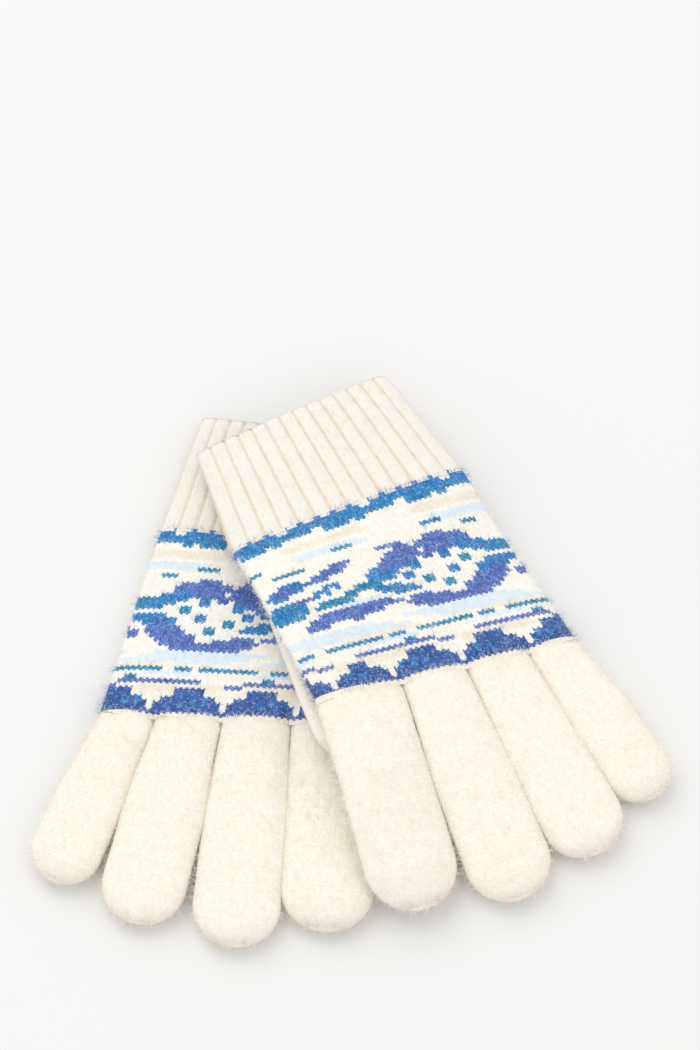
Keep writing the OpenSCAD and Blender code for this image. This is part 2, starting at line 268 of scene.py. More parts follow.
def stitch_height(wale, course):
    """Height of a stocking stitch: two slanted legs meeting in a V."""
    across = np.abs(wale - np.floor(wale) - 0.5) * 2
    leg = np.abs(np.sin(math.pi * (course + 0.42 * across)))
    valley = 1 - np.exp(-((across / 0.30) ** 2)) * 0.7
    edge = 1 - np.exp(-(((1 - across) / 0.26) ** 2)) * 0.9
    return (0.5 + 0.5 * leg ** 0.8) * valley * edge


# How strongly each yarn varies from stitch to stitch, and the painted shade tint of its hollows
HEATHER = np.array([0.03, 0.04, 0.03, 0.24, 0.26, 0.28, 0.32, 0.03, 0.04, 0.035])
HOLLOW_SHADE = np.array([
    (0.93, 0.90, 0.85), (0.92, 0.88, 0.80), (0.92, 0.94, 0.96), (0.72, 0.76, 0.82), (0.72, 0.76, 0.82),
    (0.72, 0.74, 0.80), (0.66, 0.68, 0.78), (0.93, 0.90, 0.85), (0.92, 0.87, 0.80), (0.92, 0.88, 0.81)])


def scatter(a, b, c):
    """A repeatable number from 0 to 1 for each stitch."""
    h = np.sin(a * 12.9898 + b * 78.233 + c * 37.719) * 43758.5453
    return h - np.floor(h)


def heathered(yarns, strand, wale, course, height, seed):
    """Colour of each face: its yarn, with painted shade in the hollows between the stitch legs, and
    varied from strand to strand.
    """
    base = yarns[strand]
    # Painted shade: faces low in the stitch relief are darkened towards the yarn's hollow tint
    low = np.clip(1 - height * 1.5, 0, 1)[:, None]
    colour = base * (1 - low * (1 - HOLLOW_SHADE[strand]))
    leg = np.floor(wale * 2)
    pick = scatter(leg, np.floor(course), seed)
    fine = scatter(np.floor(wale * 4), np.floor(course * 3), seed + 3)
    drift = scatter(0 * leg, np.floor(course / 2), seed + 5)
    vary = (pick * 0.55 + fine * 0.45 - 0.5) * 2
    vary = np.clip(vary * 1.5, -1, 1) * HEATHER[strand]
    colour = colour * (1 + vary)[:, None]
    blue = (strand >= SKY) & (strand <= ROYAL)
    bright = blue & (fine > 0.86)
    colour[bright] = colour[bright] * 0.5 + np.array([0.42, 0.52, 0.72]) * 0.5
    warm = ((drift - 0.5) * 0.025 * ~blue)[:, None]
    return np.clip(colour * (1 + warm * np.array([0.3, 0.7, 1.6])), 0, 1).astype(np.float32)


def grid_normals(p, closed):
    if closed:
        du = np.roll(p, -1, 1) - np.roll(p, 1, 1)
    else:
        du = np.gradient(p, axis=1)
    dv = np.gradient(p, axis=0)
    n = np.cross(du, dv)
    size = np.linalg.norm(n, axis=2, keepdims=True)
    return n / np.maximum(size, 1e-9)


def knitted_mesh(name, side, rings, wale, course, yarn_of, relief, tip, yarns, lift=None):
    """rings is (courses, wales, 3) in the glove's frame, running away from the wrist."""
    p = np.array(rings, float)
    rows, cols = p.shape[:2]
    u = np.broadcast_to(wale, (rows, cols))
    v = np.broadcast_to(np.asarray(course)[:, None], (rows, cols))
    n = grid_normals(p, True)
    fade = np.ones((rows, 1))
    if tip:
        fade[-6:, 0] = np.linspace(0.7, 0, 6)
    height = relief * (stitch_height(u, v) - 0.45) * fade
    height = height + 0.32 * wrinkle(p[..., 0], p[..., 1], len(name) + 1.7) * fade
    if lift is not None:
        height = height + lift
    outward = 1.0 if (n[rows // 2, cols // 4, 2] > 0) else -1.0
    p = p + n * outward * height[..., None]
    p[..., 2] = np.maximum(p[..., 2], 0.0)
    points = to_world(side, p).reshape(-1, 3)
    r = np.arange(rows - 1)[:, None]
    c = np.arange(cols)[None, :]
    nxt = (c + 1) % cols
    quads = np.stack([r * cols + c, r * cols + nxt, (r + 1) * cols + nxt, (r + 1) * cols + c], -1)
    quads = quads.reshape(-1, 4)
    fu = (u[:-1] + (u[0, 1] - u[0, 0]) / 2).reshape(-1)
    fv = ((v[:-1] + v[1:]) / 2).reshape(-1)
    uv = np.stack([
        np.stack([u[:-1], v[:-1]], -1), np.stack([u[:-1] + (u[0, 1] - u[0, 0]), v[:-1]], -1),
        np.stack([u[1:] + (u[0, 1] - u[0, 0]), v[1:]], -1), np.stack([u[1:], v[1:]], -1)], 2)
    uv = uv.reshape(-1, 2)
    across = np.abs(fu - np.floor(fu) - 0.5) * 2
    strand = yarn_of(fu, fv + 0.42 * across)
    colours = heathered(yarns, strand, fu, fv + 0.42 * across, stitch_height(fu, fv), len(name))
    faces = quads
    flip = (outward > 0) == (side == "right")
    if flip:
        faces = quads[:, ::-1]
        uv = uv.reshape(-1, 4, 2)[:, ::-1].reshape(-1, 2)
    extra = []
    if tip:
        last = (rows - 1) * cols
        centre = points[last:last + cols].mean(0)
        points = np.vstack([points, centre])
        mid = len(points) - 1
        for k in range(cols):
            a, b = last + k, last + (k + 1) % cols
            extra.append((b, a, mid) if flip else (a, b, mid))
    mesh = bpy.data.meshes.new(name)
    mesh.from_pydata(points.tolist(), [], faces.tolist() + extra)
    layer = mesh.uv_layers.new(name="knit")
    loops = np.zeros((len(mesh.loops), 2), np.float32)
    loops[:len(uv)] = uv
    if tip:
        loops[len(uv):] = (float(u[0, 0]), float(v[-1, 0]))
    layer.data.foreach_set("uv", loops.reshape(-1))
    paint = mesh.attributes.new("yarn", "FLOAT_COLOR", "FACE")
    values = np.ones((len(mesh.polygons), 4), np.float32)
    values[:len(colours), :3] = colours
    if tip:
        values[len(colours):, :3] = colours[-1]
    paint.data.foreach_set("color", values.reshape(-1))
    mesh.polygons.foreach_set("use_smooth", np.ones(len(mesh.polygons), bool))
    mesh.validate()
    mesh.update()
    obj = bpy.data.objects.new(name, mesh)
    bpy.context.scene.collection.objects.link(obj)
    return obj


def plain(strand):
    """The yarn of a piece that is knitted in one yarn only."""
    return lambda wale, course: np.full(wale.shape, strand)


def courses(length, step):
    """Distances along a tube, close to a step apart."""
    return np.linspace(0, length, max(2, int(round(length / step))) + 1)


# ---------------------------------------------------------------------------------------
# Shader and geometry node helpers
# ---------------------------------------------------------------------------------------
class Value:
    """Wraps a socket, so that shader maths is written as an expression."""

    def __init__(self, graph, socket):
        self.graph = graph
        self.socket = socket

    def _math(self, operation, a, b):
        return self.graph.add("ShaderNodeMath", {"operation": operation}, {0: a, 1: b})

    def __add__(self, other):
        return self._math("ADD", self, other)

    def __radd__(self, other):
        return self._math("ADD", other, self)

    def __sub__(self, other):
        return self._math("SUBTRACT", self, other)

    def __rsub__(self, other):
        return self._math("SUBTRACT", other, self)

    def __mul__(self, other):
        return self._math("MULTIPLY", self, other)

    def __rmul__(self, other):
        return self._math("MULTIPLY", other, self)


class Graph:
    """Builds a node tree of either kind."""

    def __init__(self, tree):
        self.tree = tree

    def add(self, kind, settings=None, inputs=None, out=0):
        node = self.tree.nodes.new(kind)
        for key, value in (settings or {}).items():
            if key == "stops":
                ramp = node.color_ramp
                while len(ramp.elements) < len(value):
                    ramp.elements.new(0.5)
                for element, (place, colour) in zip(ramp.elements, value):
                    element.position = place
                    element.color = colour
            else:
                setattr(node, key, value)
        for key, value in (inputs or {}).items():
            self.join(value, node.inputs[key])
        return Value(self, node.outputs[out]) if len(node.outputs) else None

    def join(self, value, socket):
        if isinstance(value, Value):
            self.tree.links.new(value.socket, socket)
        else:
            socket.default_value = value


def mix_colour(g, factor, a, b, blend="MIX"):
    return g.add("ShaderNodeMix", {"data_type": "RGBA", "blend_type": blend},
                 {0: factor, 6: a, 7: b}, 2)


def yarn_material(name, fleck, bump, sheen, shade):
    """Brushed wool: the stitch's own colour, heathered by lighter and darker fibres."""
    mat = bpy.data.materials.new(name)
    mat.use_nodes = True
    tree = mat.node_tree
    tree.nodes.clear()
    g = Graph(tree)
    place = g.add("ShaderNodeTexCoord", out=3)
    yarn = g.add("ShaderNodeAttribute", {"attribute_name": "yarn"})
    fine = g.add("ShaderNodeTexNoise", {}, {"Vector": place, "Scale": 1900.0, "Detail": 3.0})
    medium = g.add("ShaderNodeTexNoise", {}, {"Vector": place, "Scale": 1100.0, "Detail": 2.0})
    broad = g.add("ShaderNodeTexNoise", {}, {"Vector": place, "Scale": 34.0, "Detail": 2.0})
    knit = g.add("ShaderNodeUVMap", {"uv_map": "knit"})
    stretched = g.add("ShaderNodeMapping", {}, {"Vector": knit, "Scale": (0.08, 0.75, 1.0)})
    bands = g.add("ShaderNodeTexNoise", {}, {"Vector": stretched, "Scale": 1.0, "Detail": 2.0})
    stops = [(0.36, shade), (0.52, (1, 1, 1, 1)), (0.72, (1.0, 1.0, 1.0, 1))]
    dark = g.add("ShaderNodeValToRGB", {"stops": stops}, {"Fac": fine})
    deep = mix_colour(g, fleck, yarn, dark, "MULTIPLY")
    light_mask = g.add("ShaderNodeMapRange", {},
                       {"Value": medium, 1: 0.55, 2: 0.72, 3: 0.0, 4: fleck})
    lit = mix_colour(g, light_mask * 0.32, deep, (0.90, 0.90, 0.92, 1))
    tone = g.add("ShaderNodeMapRange", {},
                 {"Value": bands * 0.6 + broad * 0.4, 1: 0.35, 2: 0.65, 3: 0.0, 4: 1.0})
    warm = mix_colour(g, tone, (0.985, 0.975, 0.955, 1), (1.0, 1.0, 1.0, 1))
    colour = mix_colour(g, 1.0, lit, warm, "MULTIPLY")
    bumped = g.add("ShaderNodeBump", {},
                   {"Strength": bump, "Distance": 0.0006, "Height": fine * 0.6 + medium * 0.6})
    shader = g.add("ShaderNodeBsdfPrincipled", {},
                   {"Base Color": colour, "Roughness": 0.95, "Normal": bumped})
    node = shader.socket.node
    node.inputs["Specular IOR Level"].default_value = 0.15
    node.inputs["Sheen Weight"].default_value = sheen
    node.inputs["Sheen Roughness"].default_value = 0.6
    g.add("ShaderNodeOutputMaterial", {}, {"Surface": shader})
    return mat


def fibre_tree(name):
    """Geometry nodes: loose fibres scattered over a knitted surface, lying mostly along it."""
    tree = bpy.data.node_groups.new(name, "GeometryNodeTree")
    face = tree.interface
    face.new_socket("Geometry", in_out="INPUT", socket_type="NodeSocketGeometry")
    sockets = {}
    for label, kind, value in (("Density", "NodeSocketFloat", 1e6), ("Seed", "NodeSocketInt", 1),
                               ("Length", "NodeSocketFloat", 0.0022), ("Fibre", "NodeSocketObject", None),
                               ("Material", "NodeSocketMaterial", None)):
        item = face.new_socket(label, in_out="INPUT", socket_type=kind)
        if value is not None:
            item.default_value = value
        sockets[label] = item.identifier
    face.new_socket("Geometry", in_out="OUTPUT", socket_type="NodeSocketGeometry")
    g = Graph(tree)
    start = tree.nodes.new("NodeGroupInput")
    pick = {s.name: Value(g, s) for s in start.outputs if s.name}
    spread = tree.nodes.new("GeometryNodeDistributePointsOnFaces")
    g.join(pick["Geometry"], spread.inputs["Mesh"])
    g.join(pick["Density"], spread.inputs["Density"])
    g.join(pick["Seed"], spread.inputs["Seed"])
    points = Value(g, spread.outputs["Points"])
    turn = Value(g, spread.outputs["Rotation"])
    spin = g.add("FunctionNodeRandomValue", {"data_type": "FLOAT_VECTOR"},
                 {0: (-1.15, -1.15, -3.14), 1: (1.15, 1.15, 3.14), "Seed": 11})
    both = g.add("FunctionNodeRotateRotation", {"rotation_space": "LOCAL"},
                 {"Rotation": turn, "Rotate By": spin})
    size = tree.nodes.new("FunctionNodeRandomValue")
    size.data_type = "FLOAT"
    size.inputs[2].default_value = 0.45
    size.inputs[3].default_value = 1.0
    size.inputs["Seed"].default_value = 5
    scale = g.add("ShaderNodeMath", {"operation": "MULTIPLY"},
                  {0: Value(g, size.outputs[1]), 1: pick["Length"]})
    info = g.add("GeometryNodeObjectInfo", {}, {"Object": pick["Fibre"]}, "Geometry")
    placed = g.add("GeometryNodeInstanceOnPoints", {},
                   {"Points": points, "Instance": info, "Rotation": both, "Scale": scale})
    real = g.add("GeometryNodeRealizeInstances", {}, {0: placed})
    done = g.add("GeometryNodeSetMaterial", {}, {"Geometry": real, "Material": pick["Material"]})
    end = tree.nodes.new("NodeGroupOutput")
    g.join(done, end.inputs[0])
    return tree, sockets


def fibre_shape():
    """One fibre, a unit long: a narrow strip that curls over."""
    old = bpy.data.objects.get("fibre_shape")
    if old:
        return old
    width = 0.021
    path = ((0.0, 0.0, -0.05), (0.10, 0.05, 0.30), (0.34, 0.02, 0.52), (0.66, -0.10, 0.58))
    points, faces = [], []
    for k, (x, y, z) in enumerate(path):
        w = width * (1 - 0.2 * k)
        points += [(x, y - w, z), (x, y + w, z)]
        if k:
            b = 2 * k
            faces.append((b - 2, b, b + 1, b - 1))
    mesh = bpy.data.meshes.new("fibre_shape")
    mesh.from_pydata(points, [], faces)
    obj = bpy.data.objects.new("fibre_shape", mesh)
    return obj


def fuzz(source, name, density, length, seed, material):
    """Scatters fibres on a piece and returns them as a plain mesh object."""
    tree, sockets = fibre_tree(name + "_nodes")
    carrier = bpy.data.objects.new(name + "_carrier", source.data.copy())
    bpy.context.scene.collection.objects.link(carrier)
    mod = carrier.modifiers.new("fibres", "NODES")
    mod.node_group = tree
    mod[sockets["Density"]] = density
    mod[sockets["Seed"]] = seed
    mod[sockets["Length"]] = length
    mod[sockets["Fibre"]] = fibre_shape()
    mod[sockets["Material"]] = material
    ready = carrier.evaluated_get(bpy.context.evaluated_depsgraph_get())
    mesh = bpy.data.meshes.new_from_object(ready)
    mesh.name = name
    spots = np.zeros(len(mesh.vertices) * 3, np.float32)
    mesh.vertices.foreach_get("co", spots)
    spots[2::3] = np.maximum(spots[2::3], 0.0)
    mesh.vertices.foreach_set("co", spots)
    mesh.update()
    obj = bpy.data.objects.new(name, mesh)
    bpy.context.scene.collection.objects.link(obj)
    bpy.data.objects.remove(carrier, do_unlink=True)
    return obj


# ---------------------------------------------------------------------------------------
# Settings
# ---------------------------------------------------------------------------------------
def colour_property(label, words, value):
    return FloatVectorProperty(name=label, description=words, default=value,
                               size=3, min=0, max=1, subtype="COLOR")


def length_property(label, words, value):
    return FloatProperty(name=label, description=words, default=value, unit="LENGTH")


class GloveKnit(bpy.types.PropertyGroup):
    """Sizes of the stitches and fibres."""
    wale: length_property("Stitch width", "Width of one stitch", 0.0022)
    course: length_property("Stitch height", "Height of one stitch", 0.00165)
    relief: length_property("Stitch relief", "How far a stitch stands up", 0.00042)
    rib_depth: length_property("Rib depth", "Depth of the cuff's grooves", 0.0007)
    ribs: IntProperty(name="Ribs", description="Ribs across one face of the cuff",
                      default=14, min=6)
    fuzz_length: length_property("Fibre length", "Length of a loose fibre", 0.0037)
    fuzz_density: FloatProperty(name="Fibre density", description="Loose fibres per square metre",
                                default=1100000.0)


class GloveYarns(bpy.types.PropertyGroup):
    """Colours of the yarns."""
    cream: colour_property("Cream", "Ground of the hand", (1.0, 0.975, 0.90))
    beige: colour_property("Beige", "Warm stripes", (0.95, 0.89, 0.76))
    pale: colour_property("Pale blue", "Light stripes", (0.80, 0.90, 0.98))
    sky: colour_property("Bright blue", "Bright blue of the motifs", (0.035, 0.26, 0.60))
    teal: colour_property("Teal", "Green-blue of the motifs", (0.03, 0.29, 0.50))
    violet: colour_property("Violet blue", "Violet of the motifs", (0.115, 0.20, 0.56))
    royal: colour_property("Royal blue", "Band over the fingers", (0.055, 0.14, 0.42))
    cuff: colour_property("Cuff", "Crowns of the ribs", (0.885, 0.855, 0.79))
    # Painted shade: the darker, warmer colour laid into the grooves between the ribs
    groove: colour_property("Groove", "Grooves of the ribs", (0.84, 0.73, 0.58))
    finger: colour_property("Fingers", "Fingers and thumbs", (0.985, 0.935, 0.845))


def yarns():
    group = bpy.context.scene.glove_yarns
    return np.array([tuple(getattr(group, name)) for name in YARNS], np.float32)


def knit():
    return bpy.context.scene.glove_knit


WOOLS = {
    "ribbed_wool": (0.35, 0.6, 0.15, (0.93, 0.90, 0.84, 1)),
    "patterned_wool": (0.45, 0.6, 0.15, (0.84, 0.84, 0.88, 1)),
    "plain_wool": (0.4, 0.6, 0.15, (0.96, 0.93, 0.88, 1)),
    "fibre_wool": (0.1, 0.1, 0.1, (0.95, 0.93, 0.90, 1)),
}


def wool(name):
    return bpy.data.materials.get(name) or yarn_material(name, *WOOLS[name])


def finish(obj, material, nodes):
    obj.data.materials.clear()
    obj.data.materials.append(material)
    if nodes:
        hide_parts(*nodes)


def settle(obj, body, blend=None):
    if blend:
        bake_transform(obj)
    else:
        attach(obj, body)


def knuckle_lobes(x):
    """Height of the fabric across the knuckle line, where it parts into four fingers."""
    high = np.zeros_like(x)
    for i in range(4):
        d = np.clip(np.abs(x - base_x(i)) / (BASE_W[i] / 2 + FINGER_GAP / 2), 0, 1)
        high = np.maximum(high, (1 - d ** 2.4) ** (1 / 2.4))
    return np.maximum(high, 0.5)


# ---------------------------------------------------------------------------------------
# Operators
# ---------------------------------------------------------------------------------------
class GLOVES_OT_stage(bpy.types.Operator):
    """Make the camera, the floor and the soft light"""
    bl_idname = "gloves.stage"
    bl_label = "Stage"

    def execute(self, context):
        aim = Vector((-0.00167, 0.05721, 0.0))
        cam = bpy.data.cameras.new("camera")
        cam.sensor_fit = "VERTICAL"
        cam.sensor_height = 36.0
        cam.lens = 70.6
        cam.clip_start = 0.05
        eye = bpy.data.objects.new("camera", cam)
        eye.location = aim + Vector((0.0, -0.4055, 0.702))
        eye.rotation_euler = (aim - eye.location).to_track_quat("-Z", "Y").to_euler()
        context.scene.collection.objects.link(eye)
        context.scene.camera = eye
        mesh = bpy.data.meshes.new("floor")
        s = 6.0
        mesh.from_pydata([(-s, -s, 0), (s, -s, 0), (s, s, 0), (-s, s, 0)], [], [(0, 1, 2, 3)])
        floor = bpy.data.objects.new("floor", mesh)
        mat = bpy.data.materials.new("floor_white")
        mat.use_nodes = True
        shader = mat.node_tree.nodes["Principled BSDF"]
        shader.inputs["Base Color"].default_value = (0.815, 0.81, 0.80, 1)
        shader.inputs["Roughness"].default_value = 0.9
        shader.inputs["Specular IOR Level"].default_value = 0.1
        mesh.materials.append(mat)
        context.scene.collection.objects.link(floor)
        world = bpy.data.worlds.new("soft_room")
        world.use_nodes = True
        world.node_tree.nodes["Background"].inputs["Color"].default_value = (1.0, 1.0, 1.0, 1)
        world.node_tree.nodes["Background"].inputs["Strength"].default_value = 0.84
        context.scene.world = world
        context.scene.view_settings.view_transform = "Standard"
        for name, place, energy, size in (
                ("key_light", (-0.6, 0.7, 1.4), 8.5, 1.3),
                ("fill_light", (0.5, -0.7, 1.3), 4.2, 1.8)):
            lamp = bpy.data.lights.new(name, "AREA")
            lamp.energy = energy
            lamp.size = size
            light = bpy.data.objects.new(name, lamp)
            light.location = place
            light.rotation_euler = (-Vector(place)).to_track_quat("-Z", "Y").to_euler()
            context.scene.collection.objects.link(light)
        return {"FINISHED"}


class GLOVES_OT_cuffs(bpy.types.Operator):
    """Knit the two ribbed cuffs"""
    bl_idname = "gloves.cuffs"
    bl_label = "Cuffs"

    def execute(self, context):
        k = knit()
        mat = wool("ribbed_wool")
        count = 88 * 5
        for side in SIDES:
            # Down the inside of the mouth, over its soft edge and along the outside
            inner = [CUFF_END - d for d in (34, 26, 18, 10, 5, 2)]
            outer = (CUFF_END - courses(CUFF_L + 1.5, k.course * 1000 / 3)).tolist()
            rings, rows = [], []
            wale = np.arange(count) / 5.0
            for n, y in enumerate(inner + outer):
                inside = n < len(inner)
                w, t = width_at(y), thickness_at(y)
                end = (CUFF_END - y) / 4.0
                roll = 0.0 if inside else 1.0 - 0.35 * max(0.0, 1 - end) ** 2
                if inside:
                    w, t = w - 4.4, t - 4.6
                else:
                    w, t = w - 2.2 * (1 - roll), t - 2.6 * (1 - roll)
                x, z = outline(w, t, CUFF_SQUARE, count)
                phase = (x + w / 2) / w * k.ribs
                groove = np.exp(-(((phase - np.round(phase)) / 0.13) ** 2))
                depth = k.rib_depth * 1000 * groove * (0.35 if inside else 1.0)
                crown = 0.2 * np.cos((phase - np.floor(phase) - 0.5) * math.pi)
                flat = np.clip(1 - (np.abs(x) / (w / 2)) ** 8, 0, 1)
                z = z - np.sign(z) * (depth - crown) * flat * np.minimum(1, np.abs(z) / 1.5)
                lean = 0.8 * math.sin(y * 0.11 + (2 if side == "left" else 0))
                gx = centre_x(y) + x + 0.15 * lean
                gy = y + skew_at(y) * x
                up = lay(side, gx, y) + thickness_at(y) / 2 + z
                rings.append(np.stack([gx, gy, up], -1))
                rows.append((CUFF_END - y) / (k.course * 1000) if not inside else -1 - n * 0.1)
            obj = knitted_mesh(f"{side}_cuff_knit", side, np.array(rings), wale, np.array(rows),
                               plain(CUFF), k.relief * 700, False, yarns())
            shade_grooves(obj, side, k.ribs)
            finish(obj, mat, (f"{side}_cuff",))
            settle(obj, f"{side}_glove")
            loose = fuzz(obj, f"{side}_cuff_fibres", k.fuzz_density * 0.8, k.fuzz_length * 0.8, 3,
                         wool("fibre_wool"))
            finish(loose, wool("fibre_wool"), ())
            settle(loose, f"{side}_glove")
        return {"FINISHED"}


def shade_grooves(obj, side, ribs):
    """Paints shade into the grooves of the cuff: faces there take the darker, warmer groove colour."""
    mesh = obj.data
    a = math.radians(TURN[side])
    centres = np.zeros(len(mesh.polygons) * 3, np.float32)
    mesh.polygons.foreach_get("center", centres)
    c = centres.reshape(-1, 3) * 1000 - np.array([*PLACE[side], 0])
    x = c[:, 0] * math.cos(a) + c[:, 1] * math.sin(a)
    y = -c[:, 0] * math.sin(a) + c[:, 1] * math.cos(a)
    if side == "right":
        x = -x
    y0 = y - skew_at(y) * (x - centre_x(y))
    w = width_at(y0)
    phase = (x - centre_x(y0) + w / 2) / w * ribs
    # Painted shade: faces in the rib grooves are blended towards the darker groove colour
    groove = np.exp(-(((phase - np.round(phase)) / 0.085) ** 2))[:, None]
    table = yarns()
    colour = table[CUFF] * (1 - groove) + table[GROOVE_SHADE] * groove
    values = np.ones((len(mesh.polygons), 4), np.float32)
    values[:, :3] = colour
    mesh.attributes["yarn"].data.foreach_set("color", values.reshape(-1))


class GLOVES_OT_hands(bpy.types.Operator):
    """Knit the two patterned hands"""
    bl_idname = "gloves.hands"
    bl_label = "Hands"

    def execute(self, context):
        k = knit()
        mat = wool("patterned_wool")
        count = 94 * 4
        for side in SIDES:
            rings, rows = [], []
            for d in courses(HAND_L + 1.5, k.course * 1000 / 3):
                y = HAND_L - d
                w, t = float(width_at(y)), HAND_T
                x, z = outline(w, t, HAND_SQUARE, count)
                level = smooth((13 - y) / 13)
                lobes = knuckle_lobes(x)
                plain = np.maximum(np.abs(z) / (t / 2), 0.05)
                z = z * ((1 - level) + level * np.minimum(lobes / plain, 1.0))
                gx = centre_x(y) + x
                gy = y + skew_at(y) * x
                puff = 0.5 * np.sin(math.pi * (x / w + 0.5)) * np.sin(math.pi * d / HAND_L)
                z = z * (1 - 0.07 * float(smooth((1.5 - y) / 3)))
                up = lay(side, gx, y) + t / 2 + z + puff * (z > 0)
                rings.append(np.stack([gx, gy, up], -1))
                rows.append(d / (k.course * 1000))
            wale = np.arange(count) / 4.0
            obj = knitted_mesh(f"{side}_hand_knit", side, np.array(rings), wale, np.array(rows),
                               hand_yarn, k.relief * 1000, False, yarns())
            finish(obj, mat, (f"{side}_hand",))
            settle(obj, f"{side}_glove")
            loose = fuzz(obj, f"{side}_hand_fibres", k.fuzz_density, k.fuzz_length, 7,
                         wool("fibre_wool"))
            finish(loose, wool("fibre_wool"), ())
            settle(loose, f"{side}_glove")
        return {"FINISHED"}


def finger_ring(side, i, s, tip, count):
    """One ring of a finger at a distance from the hinge line."""
    a = math.radians(SPLAY[side][i])
    f = max(s, 0.0) / FINGER_L[i]
    full = HAND_T + (FINGER_T - HAND_T) * float(smooth(s / 30))
    w = (BASE_W[i] + FINGER_GAP + FLARE[i] * float(smooth(s / (0.5 * FINGER_L[i])))) * math.cos(tip)
    t = full * math.cos(tip) ** 0.8
    t = t * (1 - 0.10 * float(smooth((0.6 - s) / 2.5)))
    x, z = outline(max(w, 0.2), max(t, 0.2), TUBE_SQUARE, count)
    if side == "left":
        base = float(lay(side, base_x(i), HINGE_Y))
        table, tilt = (INDEX_FALL, INDEX_SLOPE) if i == 0 else (FALL, SLOPE)
        rise = 0.3 + (base - 0.3) * float(eased(f, table, 0.08))
        lean = TILT * float(eased(f, tilt, 0.08))
        if s < 0:
            rise = base
    else:
        rise, lean = 0.0, 0.0
    reach = max(s, 0.0)
    gx = base_x(i) + reach * math.sin(a) + x * math.cos(a)
    gy = HINGE_Y - s * math.cos(a) + x * math.sin(a) * (1 if s > 0 else 0)
    up = rise + lean * x + full / 2 + z
    return np.stack([gx, gy, up], -1)


class GLOVES_OT_fingers(bpy.types.Operator):
    """Knit the eight fingers"""
    bl_idname = "gloves.fingers"
    bl_label = "Fingers"

    def execute(self, context):
        k = knit()
        mat = wool("plain_wool")
        for side in SIDES:
            for i, digit in enumerate(DIGITS):
                wales = int(round(2 * (BASE_W[i] + 8) / (k.wale * 1000)))
                count = wales * 4
                length = FINGER_L[i]
                r = (BASE_W[i] + FLARE[i]) / 2
                rings, rows = [], []
                for d in courses(length - r + 3.2, k.course * 1000 / 3):
                    rings.append(finger_ring(side, i, d - 3.2, 0.0, count))
                    rows.append(d / (k.course * 1000))
                start = rows[-1]
                for q in np.linspace(0, LAST_TIP_ANGLE, 34)[1:]:
                    a = math.radians(q)
                    rings.append(finger_ring(side, i, length - r * (1 - math.sin(a)), a, count))
                    rows.append(start + r * a / (k.course * 1000))
                wale = np.arange(count) / 4.0
                ring_count = len(rings)
                # The last courses are drawn together in shallow pleats
                tip = np.clip((np.arange(ring_count) - ring_count + 22) / 22, 0, 1)[:, None]
                gather = -0.45 * tip * (1 + np.cos(wale / wales * 2 * math.pi * 9))[None, :] / 2
                name = f"{side}_{digit}_finger"
                obj = knitted_mesh(name + "_knit", side, np.array(rings), wale, np.array(rows),
                                   plain(FINGER), k.relief * 850, True, yarns(), gather)
                finish(obj, mat, (name,))
                joint = finger_blend(side, i)
                settle(obj, None, joint)
                loose = fuzz(obj, name + "_fibres", k.fuzz_density, k.fuzz_length, 13 + i,
                             wool("fibre_wool"))
                finish(loose, wool("fibre_wool"), ())
                settle(loose, None, joint)
        return {"FINISHED"}


def finger_blend(side, i):
    """Where a finger's fabric starts and ends its turn about the knuckle line."""
    a = math.radians(SPLAY[side][i])
    base = float(lay(side, base_x(i), HINGE_Y)) + HAND_T / 2
    start = to_world(side, [base_x(i), HINGE_Y + 2.0, base])
    end = to_world(side, [base_x(i) + 9 * math.sin(a), HINGE_Y - 9 * math.cos(a), base])
    return (f"{side}_glove", f"{side}_{DIGITS[i]}_finger_body", tuple(start), tuple(end))


def tube_rings(stations, count, t_full, w_full):
    """Rings along a flat path: each station is centre, heading, across tilt and tip angle."""
    rings = []
    for x0, y0, z0, heading, lean, tip in stations:
        x, z = outline(w_full * math.cos(tip), t_full * math.cos(tip) ** 0.8, TUBE_SQUARE, count)
        hx, hy = math.cos(heading), math.sin(heading)
        gx = x0 - x * hy
        gy = y0 + x * hx
        rings.append(np.stack([gx, gy, z0 + lean * (gx - x0) + z], -1))
    return np.array(rings)


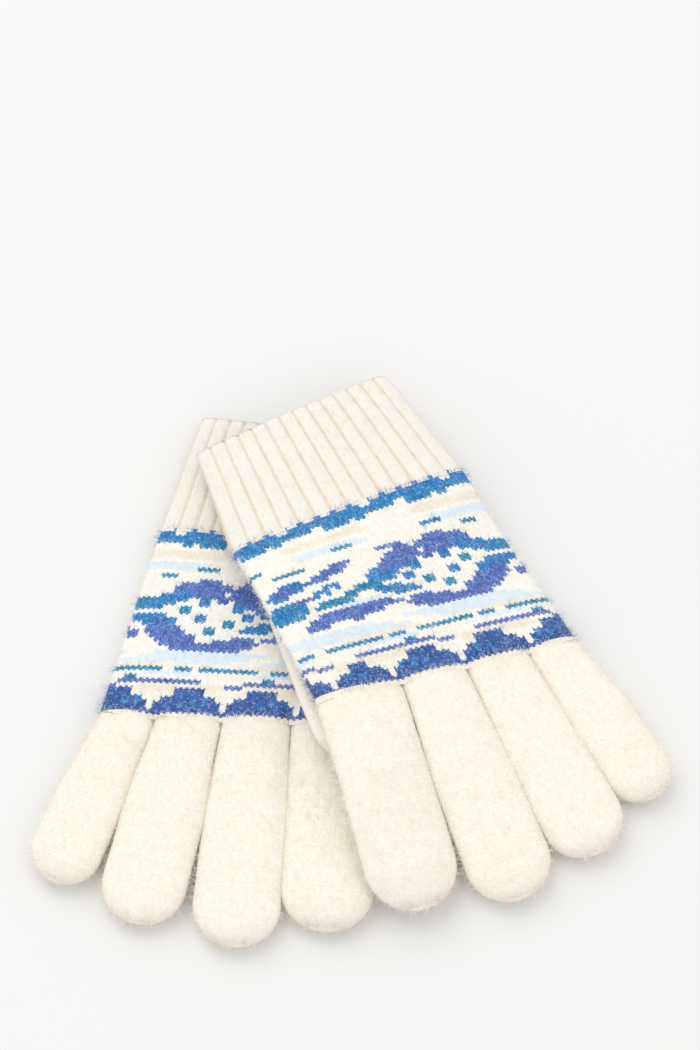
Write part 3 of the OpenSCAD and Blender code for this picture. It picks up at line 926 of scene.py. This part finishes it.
class GLOVES_OT_thumbs(bpy.types.Operator):
    """Knit the two thumbs: the right beside its palm, the left tucked under its own"""
    bl_idname = "gloves.thumbs"
    bl_label = "Thumbs"

    def execute(self, context):
        k = knit()
        mat = wool("plain_wool")
        count = 29 * 4
        step = k.course * 1000 / 3
        radius = THUMB_W / 2
        hinge_x = float(centre_x(THUMB_FORK) - width_at(THUMB_FORK) / 2) + THUMB_REACH
        out = THUMB_HINGE_CLEAR
        c = THUMB_FORK_CLEAR + radius
        flat = THUMB_T / 2
        # Out of the edge of the hand, round the bend and forward beside the palm
        stations = []
        for d in courses(out + 4, step):
            stations.append((hinge_x + 4 - d, THUMB_FORK + radius, flat, math.pi, 0.0, 0.0))
        for q in courses(THUMB_BEND, step / c)[1:]:
            stations.append((hinge_x - out - c * math.sin(q),
                             THUMB_FORK - THUMB_FORK_CLEAR + c * math.cos(q),
                             flat, math.pi + q, 0.0, 0.0))
        heading = math.pi + THUMB_BEND
        sx, sy = stations[-1][:2]
        for s in courses(RIGHT_THUMB_L - radius, step)[1:]:
            stations.append((sx - s * math.cos(THUMB_BEND), sy - s * math.sin(THUMB_BEND),
                             flat, heading, 0.0, 0.0))
        sx, sy = stations[-1][:2]
        for q in np.linspace(0, LAST_TIP_ANGLE, 26)[1:]:
            a = math.radians(q)
            s = radius * math.sin(a)
            stations.append((sx - s * math.cos(THUMB_BEND), sy - s * math.sin(THUMB_BEND),
                             flat, heading, 0.0, a))
        self.make("right", stations, count, mat, k, (
            "right_glove", "right_thumb_body",
            tuple(to_world("right", [hinge_x + 2.5, THUMB_FORK + radius, flat])),
            tuple(to_world("right", [hinge_x - 8, THUMB_FORK + radius, flat]))))
        # Closed at both ends, flat under the tilted palm
        tx, ty = LEFT_THUMB_AT
        up = float(lay("left", tx, ty)) - 0.9 - flat
        stations = []
        for q in np.linspace(-LAST_TIP_ANGLE, 0, 20)[:-1]:
            a = math.radians(q)
            stations.append((tx, ty - radius * math.sin(a), up, -math.pi / 2, TILT, a))
        for s in courses(LEFT_THUMB_RUN, step):
            stations.append((tx, ty - s, up, -math.pi / 2, TILT, 0.0))
        for q in np.linspace(0, LAST_TIP_ANGLE, 26)[1:]:
            a = math.radians(q)
            stations.append((tx, ty - LEFT_THUMB_RUN - radius * math.sin(a), up, -math.pi / 2, TILT, a))
        self.make("left", stations, count, mat, k, None)
        return {"FINISHED"}

    def make(self, side, stations, count, mat, k, joint):
        wide = THUMB_W - (0.4 if side == "right" else 3.4)
        rings = tube_rings(stations, count, THUMB_T - 0.6, wide)
        run = np.cumsum([0] + [0.55] * (len(stations) - 1)) / (k.course * 1000)
        wale = np.arange(count) / 4.0
        name = f"{side}_thumb"
        obj = knitted_mesh(name + "_knit", side, rings, wale, run, plain(FINGER),
                           k.relief * 700, True, yarns())
        finish(obj, mat, (name,))
        settle(obj, f"{side}_thumb_body", joint)
        loose = fuzz(obj, name + "_fibres", k.fuzz_density * 0.7, k.fuzz_length * 0.5, 29,
                     wool("fibre_wool"))
        finish(loose, wool("fibre_wool"), ())
        settle(loose, f"{side}_thumb_body", joint)


class GLOVES_PT_panel(bpy.types.Panel):
    """Lists the settings and the operators"""
    bl_idname = "GLOVES_PT_panel"
    bl_label = "Knitted Gloves"
    bl_space_type = "VIEW_3D"
    bl_region_type = "UI"
    bl_category = "Gloves"

    def draw(self, context):
        layout = self.layout
        for group in (context.scene.glove_knit, context.scene.glove_yarns):
            for name in group.__annotations__:
                layout.prop(group, name)
        for operator in STEPS:
            layout.operator(operator.bl_idname)


STEPS = (GLOVES_OT_stage, GLOVES_OT_cuffs, GLOVES_OT_hands, GLOVES_OT_fingers, GLOVES_OT_thumbs)
CLASSES = (GloveKnit, GloveYarns) + STEPS + (GLOVES_PT_panel,)


def register():
    for cls in CLASSES:
        bpy.utils.register_class(cls)
    bpy.types.Scene.glove_knit = PointerProperty(type=GloveKnit)
    bpy.types.Scene.glove_yarns = PointerProperty(type=GloveYarns)


def unregister():
    del bpy.types.Scene.glove_yarns
    del bpy.types.Scene.glove_knit
    for cls in reversed(CLASSES):
        bpy.utils.unregister_class(cls)


def main():
    register()
    bpy.ops.gloves.stage()
    bpy.ops.gloves.cuffs()
    bpy.ops.gloves.hands()
    bpy.ops.gloves.fingers()
    bpy.ops.gloves.thumbs()


if __name__ == "__main__":
    main()
